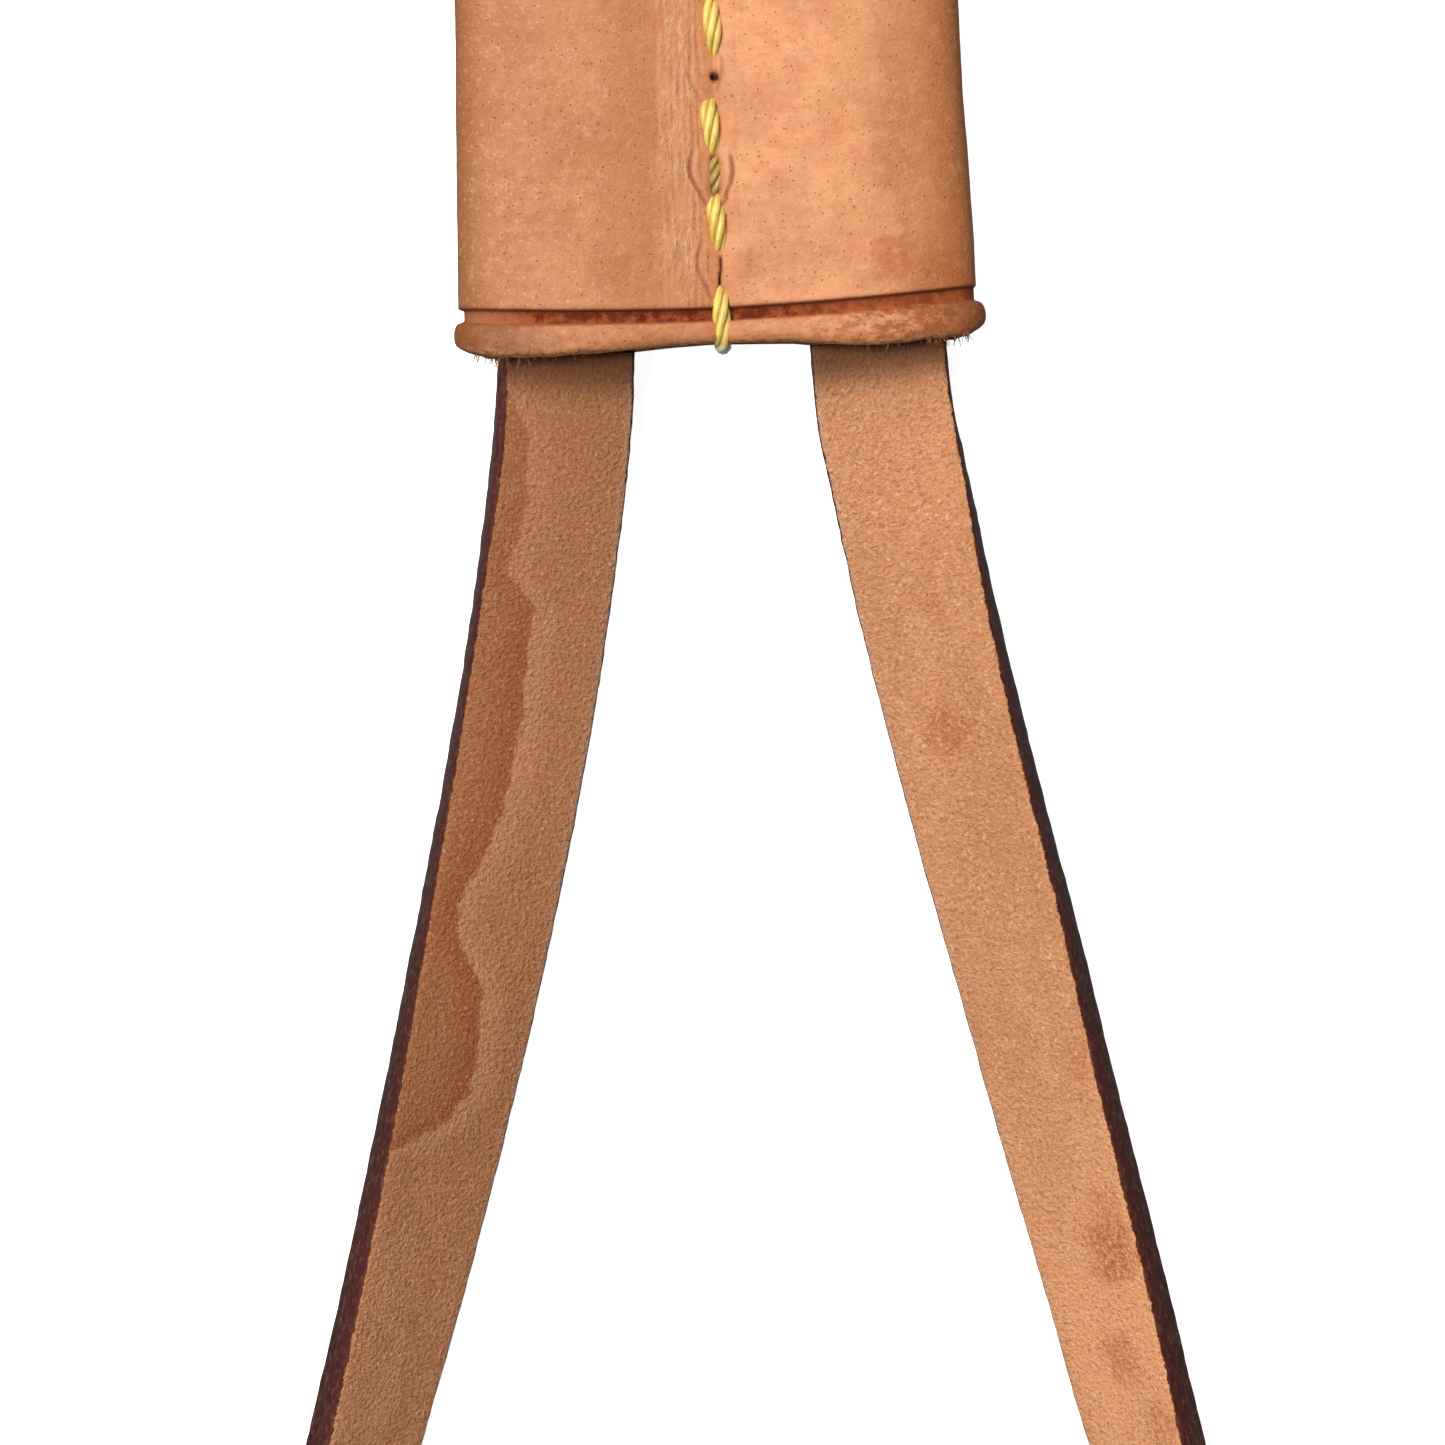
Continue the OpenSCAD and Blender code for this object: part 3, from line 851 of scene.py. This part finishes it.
def add_wrinkles(x, along, relief, brown):
    for k, (place, depth) in enumerate(WRINKLES):
        sway = 0.22 * grain(along, 0.3, 11 * k + 2) + 0.07 * grain(along, 1.6, 5 * k)
        come_and_go = smooth(grain(along, 0.4, 17 * k + 5), -0.3, 0.25)
        line = dent(x - place - sway, 0.1) * come_and_go
        relief += depth * come_and_go * (0.8 * dent(x - place - sway - 0.18, 0.12)) - depth * line
        # Painted shade along the wrinkle's groove.
        brown += 5 * depth * line


def add_gaps(x, y, relief, brown, black):
    for gap, (kind, half, wide, place) in zip(GAP_MARKS, GAPS):
        relief += 0.14 * dent(y - gap, 1.3) * dent(x, 1)
        beyond = np.maximum(np.abs(y - gap) - half, 0)
        sway = 0.05 * np.sin(2.4 * (y - gap)) if kind == "slit" else 0
        away = np.hypot(x - place - sway, beyond)
        spot = dent(away, wide)
        if kind == "remnant":
            brown += 0.9 * dent(away, 0.34)
            relief -= 0.3 * spot
        else:
            # Painted shade inside the slit or hole, besides its dent.
            black += 1.25 * spot
            relief -= 0.7 * spot
            brown += 0.5 * dent(away, wide + 0.14)


def add_folds(x, y, along, relief, brown):
    for k, (middle, half, top_x, wide_x, strength) in enumerate(FOLDS_BESIDE):
        t = (middle + half - y) / (2 * half)
        inside = smooth(t, 0, 0.18) * smooth(t, 1, 0.9)
        bow = top_x + (wide_x - top_x) * np.sin(math.pi * np.clip(t * 1.35, 0, 1))
        bow = bow * np.sqrt(np.clip(1 - np.clip(t - 0.35, 0, 1) ** 2 / 0.45, 0, 1))
        line = dent(x - bow - 0.05 * grain(along, 2.2, 31 * k), 0.1) * inside * strength
        relief += 0.09 * dent(x - 0.75 * bow, 0.26) * inside * strength - 0.13 * line
        # Painted shade along the fold's line.
        brown += 0.85 * line


def front_relief(x, y):
    """Height added to the front at x and y, and how strong its brown lines, holes and wrinkling are there."""
    relief, brown, black = np.zeros_like(x), np.zeros_like(x), np.zeros_like(x)
    along = np.stack([0 * x, y, 0 * x], -1)
    add_wrinkles(x, along, relief, brown)
    add_gaps(x, y, relief, brown, black)
    add_folds(x, y, along, relief, brown)
    patchy = 0.55 + 0.9 * grain(np.stack([x, y, 0 * x], -1), 0.35, 3)
    band = smooth(x, -3.7, -2.7) * smooth(x, -0.6, -1.7) + 0.3 * smooth(x, 0.7, 1) * smooth(x, 2.4, 1.6)
    return relief, np.clip(brown, 0, 1), np.clip(black, 0, 1), band * np.clip(patchy, 0.15, 1)


def worn(face_x):
    """How frayed the short edge is at face_x: most at the outer end of each channel."""
    left = smooth(face_x, -15.2, -14.4) * smooth(face_x, -5.5, -9.5)
    return left + 0.6 * smooth(face_x, 8, 12) * smooth(face_x, 15.2, 14.6)


# Patches where the front is tanned darker: place across, distance from the short edge, radius and strength.
PATCHES = (
    (10.6, 4.6, 1.9, 0.65), (12.4, 3.6, 1.6, 0.5), (9, 3.4, 1.1, 0.3), (7.4, 5.6, 2.6, 0.28),
    (10.2, 10.8, 2.2, 0.3), (11.5, 13.5, 2, 0.25), (-11.6, 18.6, 1.6, 0.35), (-8.6, 12.4, 1.8, 0.25),
    (-6.3, 4.6, 1.6, 0.3), (1.6, 4.6, 0.9, 0.4), (-14.4, 14, 2.4, 0.3), (6.9, 19.5, 1.6, 0.25),
    (-9.3, 7.2, 1.5, 0.2), (-13.6, 2.9, 1.1, 0.4), (13.9, 3, 1, 0.45))


def tanned(x, d):
    """How much darker than its surroundings the front is at x and d, in blotches with broken outlines."""
    at = np.stack([x, d, 0 * x], -1)
    broken = 0.5 * grain(at, 0.8, 8) + 0.35 * grain(at, 2.2, 5)
    share = np.zeros_like(x)
    for patch_x, patch_d, radius, strength in PATCHES:
        away = np.hypot(x - patch_x, d - patch_d) / radius + broken
        share = np.maximum(share, strength * smooth(away, 1.15, 0.35))
    return share


def slide_grid(outer):
    """Each point of the skin's rows: across, height, distance from its short edge, which edge that is, and
    across as that edge has it. The far end is the near end turned round."""
    near = row_ds()
    d = np.r_[near, near[::-1]][:, None]
    sign = np.repeat((-1.0, 1.0), len(near))[:, None]
    x, z, d, sign = np.broadcast_arrays(*outer.T, d, sign)
    return x, z, d, sign, -x * sign


def edge_shift(face_x, d):
    """How far the rows move in, so that they follow the short edge's line and the crease."""
    bend = CREASE_LINE[0] + CREASE_LINE[1] * face_x + CREASE_LINE[2] * face_x * face_x - CREASE_AT
    edge = edge_bulge(face_x)
    before = -edge + (bend + edge) * smooth(d, 0, CREASE_AT)
    return np.where(d < CREASE_AT, before, bend * (1 - smooth(d, CREASE_AT + 0.6, 7.5)))


def crease_groove(x, y, d):
    """How far into the crease's groove each point is, from 0 to 1, with a slightly wobbling outline."""
    wobble = 0.05 * grain(np.stack([x, y, 0 * x], -1), 0.9, 21)
    start, end = CREASE_AT - CREASE_W / 2, CREASE_AT + CREASE_W / 2
    return smooth(d + wobble, start - 0.06, start + 0.1) * smooth(d + wobble * 0.5, end + 0.07, end - 0.1)


def edge_profile(face_x, d, groove):
    """The lip, the groove and the rounded short edge, as height over the plain section."""
    lip = LIP_RISE * np.sqrt(np.clip(1 - ((d - LIP_MIDDLE) / LIP_MIDDLE) ** 2, 0, 1)) * (d < 2 * LIP_MIDDLE)
    lip = lip * (1 + 0.8 * smooth(face_x, 13.8, 15.2))
    rounding = EDGE_ROUND * (1 - np.sqrt(np.clip(1 - (1 - np.clip(d / EDGE_ROUND, 0, 1)) ** 2, 0, 1)))
    return lip - CREASE_DEPTH * groove * (1 - 0.6 * smooth(face_x, 13.9, 14.8)) - rounding


def slide_faces(rows, half):
    """Rings of 2 * half points, closed at both short edges between the skin and the channels' walls."""
    faces = grid_quads(rows, 2 * half)
    for first, way in ((0, 1), ((rows - 1) * 2 * half, -1)):
        for i in range(half - 1):
            quad = [first + i, first + i + 1, first + 2 * half - 2 - i, first + 2 * half - 1 - i]
            faces.append(quad[::way])
    return faces


def build_slide():
    outer, wall = section()
    step = np.gradient(outer, axis=0)
    normal = unit(np.stack([step[:, 1], -step[:, 0]], -1))
    x0, z0, d, sign, face_x = slide_grid(outer)
    y = sign * (HALF_LEN - d - edge_shift(face_x, d))
    at = np.stack([x0, y, z0], -1)
    frayed = worn(face_x)
    groove = crease_groove(x0, y, d)
    fronts = np.broadcast_to(smooth(normal[:, 1], 0.6, 0.95), x0.shape)
    clear = smooth(d, 1.2, 3.2)
    relief, brown, black, band = front_relief(np.array(x0), y)
    offset = edge_profile(face_x, d, groove) + 0.05 * grain(at, 0.22, 4) + 0.02 * grain(at, 1.1, 9)
    offset = offset + 0.07 * frayed * grain(at, 2.4, 13) * smooth(d, 1.6, 0.4) + relief * fronts * clear
    shift = np.where(x0 < 0, -side_shift(LEFT_SIDE, y), side_shift(RIGHT_SIDE, y))
    x = x0 + offset * normal[:, 0] + smooth(np.abs(x0), 5, HALF_W - 0.6) * shift
    rag = frayed * smooth(d, 0.5, 0.05)
    z = np.maximum(z0 + offset * normal[:, 1], 0)
    skin = np.stack([x, y + sign * rag * (0.1 * grain(at, 3.3, 5)), z], -1)
    hollow_y = y - sign * 0.12 * smooth(d, 0.3, 0)
    hollow = np.stack(np.broadcast_arrays(wall[:, 0], hollow_y, wall[:, 1]), -1)

    def both(outside, inside=0):
        return np.concatenate([outside, np.full_like(x0, inside)], 1).ravel()

    nick = 0.9 * smooth(np.hypot(1.6 * (face_x - 12.6), (d - 3.4) / 1.4), 0.36, 0.14)
    raw = smooth(d, 0.3, 0) + frayed * smooth(d + 0.3 * grain(at, 1.7, 2), 0.5, 0.1)
    points = np.concatenate([skin, hollow[:, ::-1]], 1)
    return piece(
        "slide_leather", points.reshape(-1, 3), slide_faces(len(x0), len(outer)), SLIDE, "slide",
        replaces=("slide_sleeve",), slot="slide_leather",
        # Among these: painted shade in holes, along crease lines and on the groove's wall, and painted light
        # on the wrinkled band.
        crease=both(groove), hole_shade_and_nick=both(np.maximum(black * clear, nick) * fronts),
        soil_and_crease_shade=both(brown * fronts * clear), wrinkle_light_and_relief=both(band * fronts * smooth(d, 1.8, 3.5)),
        raw=both(0.85 * np.clip(raw, 0, 1), 1), groove_shadow=both(0.8 * dent(d - CREASE_AT - CREASE_W / 2, 0.15)),
        lip=both(smooth(d, 1.75, 1.45)), tanned=both(tanned(face_x, d)))


build_slide()

# ---- stitches

STITCH_RISE = 0.5
STITCH_DEPTH = 0.8  # how far below the seam's surface a stitch starts and ends
STITCH_POINTS = 44
STITCH_IN = 1.02  # from a slit's middle to where the thread goes down
STITCH_X = (0, -0.05, -0.27, 0, -0.1, 0.05, -0.08, 0.02)
STITCH_LEAN = 0.13
# How thick a stitch is along its length, and the wrap over the short edge along its own.
SPINDLE = ([0, 0.1, 0.28, 0.6, 0.86, 1], [0.5, 0.84, 1, 0.95, 0.66, 0.4])
WRAP_SWELL = ([0, 0.06, 0.2, 0.42, 0.5, 0.58, 0.8, 0.94, 1], [0.5, 0.85, 1, 0.9, 0.9, 0.9, 1, 0.85, 0.6])


def stitch_line(x, lean, y_top, y_low, front):
    """One stitch: out of the leather, over it and back in."""
    t = np.linspace(0, 1, STITCH_POINTS)
    arch = np.sin(math.pi * t) ** 0.5
    height = SEAM_Z - STITCH_DEPTH + (STITCH_DEPTH + STITCH_RISE - 0.18) * arch
    z = height if front else SLIDE_H - height
    return np.c_[x + lean * (2 * t - 1), y_top + (y_low - y_top) * t, z]


def wrap_line(x, y_in, end):
    """The last stitch: from its slit over the short edge to the back, and in again."""
    top, middle, edge = SEAM_Z + STITCH_RISE - 0.3, SLIDE_H / 2, HALF_LEN - 0.42
    over = [
        (y_in, SEAM_Z - 0.7), (y_in + 0.35, top - 0.25), (y_in + 1.1, top + 0.05), (edge - 0.75, top),
        (edge + 0.15, top - 0.35), (edge + 0.45, middle + 0.7)]
    under = [(y, SLIDE_H - z) for y, z in over[::-1]]
    fine = spline(over + [(edge + 0.5, middle)] + under, 0.12)
    lean = 0.1 * smooth(fine[:, 0], y_in, edge)
    return np.c_[x + lean, end * fine[:, 0], fine[:, 1]]


def build_stitches():
    seam = Thread()
    for i in range(len(GAP_MARKS) - 1):
        low, top = GAP_MARKS[i] + STITCH_IN, GAP_MARKS[i + 1] - STITCH_IN
        swell = np.interp(np.linspace(0, 1, STITCH_POINTS), *SPINDLE)
        seam.twist(stitch_line(STITCH_X[i + 1], STITCH_LEAN, top, low, True), swell, 1.3 * i)
        seam.twist(stitch_line(0, 0, top + 0.25, low - 0.25, False), swell, 2.1 * i)
    for end, x in ((-1, STITCH_X[0]), (1, STITCH_X[-1])):
        line = wrap_line(x, GAP_MARKS[-1] + 0.85, end)
        swell = np.interp(np.linspace(0, 1, len(line)), *WRAP_SWELL)
        seam.twist(line, swell, 0.8, wax=0.9)
    # Where a stitch's tail is caught in its slit, a frayed and dirty bit of thread shows.
    for gap, (kind, half, _, place) in zip(GAP_MARKS, GAPS):
        if kind == "remnant":
            line = stitch_line(place, 0.04, gap + half + 0.55, gap - half - 0.45, True)
            line[:, 2] -= 0.3
            seam.twist(line, np.full(len(line), 0.8), 0.4, pitch=2.1, plies=3, worn=0.62)
    seam.piece("seam_stitches", "slide", "seam_thread")


build_stitches()

# ---- frayed fibres

# Where the fibres are: from and to across the slide, how many, and how long the longest are.
FIBRES = ((-14.3, -11.2, 46, 0.75), (-11.2, -6, 26, 0.3), (8.6, 12.4, 34, 0.4), (12.4, 14.6, 34, 0.6))
FIBRE_POINTS = 7
FIBRE_SIDES = 4
FIBRE_LOWEST = LACE_Z + LACE_T / 2 + 0.16  # just clear of the lace


def fibre(random, x, reach, end):
    """One loose fibre, as rings of points round a tapering line that runs out from the short edge."""
    length = reach * random.uniform(0.35, 1)
    t = np.linspace(0, 1, FIBRE_POINTS)
    bend, lean = random.normal(0, 0.3), random.normal(0, 0.35)
    start = -(HALF_LEN + float(edge_bulge(x)) - 0.22)
    z = random.uniform(3.2, 5.6) if end < 0 else random.uniform(4.7, 5.6)
    lift = random.normal(-0.2, 0.4) if end < 0 else random.uniform(0, 0.5)
    core = np.c_[
        x + length * (lean * t + bend * t * t), start - (length + 0.2) * t,
        np.maximum(z + length * lift * t * t, FIBRE_LOWEST)]
    if end > 0:
        core[:, :2] *= -1
    return tubes(core, random.uniform(0.025, 0.06) * (1 - 0.8 * t), FIBRE_SIDES)[0].reshape(-1, 3)


def build_fibres():
    """Loose fibres of the leather's raw edge, under the lip at both ends of the slide."""
    random = np.random.default_rng(5)
    points, faces = [], []
    for end in (-1, 1):
        for low, high, number, reach in FIBRES:
            clumps = random.uniform(low, high, max(3, number // 6))
            for k in range(number):
                x = clumps[k % len(clumps)] + random.normal(0, 0.22)
                faces += grid_quads(FIBRE_POINTS, FIBRE_SIDES, len(points) * FIBRE_POINTS * FIBRE_SIDES)
                points.append(fibre(random, x, reach, end))
    points = np.concatenate(points)
    none = np.zeros(len(points))
    marks = dict.fromkeys(("crease", "hole_shade_and_nick", "soil_and_crease_shade", "wrinkle_light_and_relief", "tanned", "groove_shadow"), none)
    piece(
        "edge_fibres", points, faces, SLIDE, "slide", slot="slide_leather",
        raw=none + 1, lip=none + 1, **marks)


build_fibres()

# ---- the hank's tie

TIE_TURNS = 3
TIE_SCALE = 0.72  # of the seam's thread
TIE_PITCH = 1.05
TIE_CORNER = 1.2
TIE_STEP = 0.35


def tie_line():
    """The tie's centreline: turns round the four straps, their corners rounded."""
    radius = TIE_SCALE * (PLY_R + PLY_OFF)
    half_w = TIE_HALF_W + radius - TIE_CORNER
    low, top = radius + TIE_CORNER, LACE_W + 1 + radius - TIE_CORNER
    turn = []
    for side, z, start in ((1, top, 0), (-1, top, 90), (-1, low, 180), (1, low, 270)):
        for a in np.radians(start + np.linspace(0, 90, 5)):
            turn.append((side * half_w + TIE_CORNER * math.cos(a), z + TIE_CORNER * math.sin(a)))
    ring = np.array(turn * TIE_TURNS + [turn[0]])
    y = TIE_Y + TIE_PITCH * (np.linspace(0, TIE_TURNS, len(ring)) - TIE_TURNS / 2)
    rough = np.c_[ring[:, 0], y, ring[:, 1]]
    at = lengths(rough)
    fine = np.arange(0, at[-1], TIE_STEP)
    return np.stack([np.interp(fine, at, rough[:, k]) for k in range(3)], -1)


def build_tie():
    line = tie_line()
    thread = Thread()
    thread.twist(line, np.ones(len(line)), scale=TIE_SCALE, pitch=3)
    return thread.piece("tie_thread", "lace", "hank_tie")


tie = build_tie()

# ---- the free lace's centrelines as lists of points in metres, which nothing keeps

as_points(metres(loop[::4]))
for side, leg_x, *_ in LEGS:
    ends = np.array([(leg_x, y, LACE_Z) for y in np.linspace(HALF_LEN, TAIL_END, 12)])
    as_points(metres(ends))

# ---- floor and light

FLOOR_HALF = 3
FLOOR_GLOW = 0.88  # keeps the floor white round the soft shadows
FLOOR_Z = -0.0001
WORLD_STRENGTH = 0.22


def build_floor():
    s = Shader("floor")
    s.set(Base_Color=(0.75, 0.75, 0.75, 1), Roughness=1, Specular_IOR_Level=0)
    glow = s.add("Emission", Strength=FLOOR_GLOW)
    both = s.add("AddShader", i0=s.skin.outputs[0], i1=glow)
    s.put(s.tree.nodes["Material Output"].inputs["Surface"], both)
    corners = [(x * FLOOR_HALF, y * FLOOR_HALF, 0) for x, y in ((-1, -1), (1, -1), (1, 1), (-1, 1))]
    mesh = bpy.data.meshes.new("floor")
    mesh.from_pydata(corners, [], [(0, 1, 2, 3)])
    mesh.materials.append(s.material)
    made = bpy.data.objects.new("floor", mesh)
    made.location.z = FLOOR_Z
    scene.collection.objects.link(made)
    return made


floor = build_floor()
floor.visible_diffuse = False
floor.visible_glossy = False

world = bpy.data.worlds.new("world")
world.use_nodes = True
sky = world.node_tree.nodes["Background"]
sky.inputs["Color"].default_value = (1, 1, 1, 1)
sky.inputs["Strength"].default_value = WORLD_STRENGTH
scene.world = world


def soft_light(name, at, size, power, look=(0, -0.04, 0)):
    data = bpy.data.lights.new(name, "AREA")
    data.shape = "SQUARE"
    data.size = size
    data.energy = power
    made = bpy.data.objects.new(name, data)
    made.location = at
    made.rotation_euler = (Vector(at) - Vector(look)).to_track_quat("Z", "Y").to_euler()
    scene.collection.objects.link(made)


soft_light("key", (-0.33, 0.12, 0.82), 0.34, 8.4)
soft_light("top", (0.05, 0.62, 0.42), 0.5, 3)

scene.view_settings.view_transform = "Standard"
